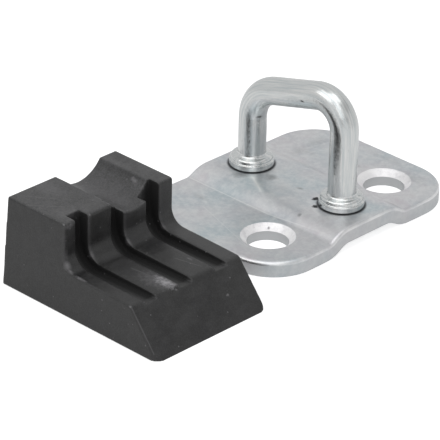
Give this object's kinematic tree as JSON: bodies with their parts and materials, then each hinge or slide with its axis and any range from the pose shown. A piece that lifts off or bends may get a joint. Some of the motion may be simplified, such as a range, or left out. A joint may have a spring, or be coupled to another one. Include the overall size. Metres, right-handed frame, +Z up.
{
  "type": "door striker set",
  "caption": "Plated steel door striker, a pressed plate with a bent latch bar, and a black moulded wedge that guides the door.",
  "frame": {"origin": "on the plate's underside, midway between its two screw holes", "axes": "+Z up, out of the plate's face; +Y from screw hole to screw hole, away from the wedge; +X along the rod's plane, towards its taller leg"},
  "size_m": [0.0616, 0.1243, 0.0402],
  "materials": {
    "plated_plate": "dull zinc plating",
    "plated_rod": "bright zinc plating",
    "moulded_wedge": "satin moulded, scuffed"
  },
  "bodies": {
    "root": {"striker_plate": "plated_plate", "striker_loop": "plated_rod", "guide_wedge": "moulded_wedge"}
  },
  "joints": []
}
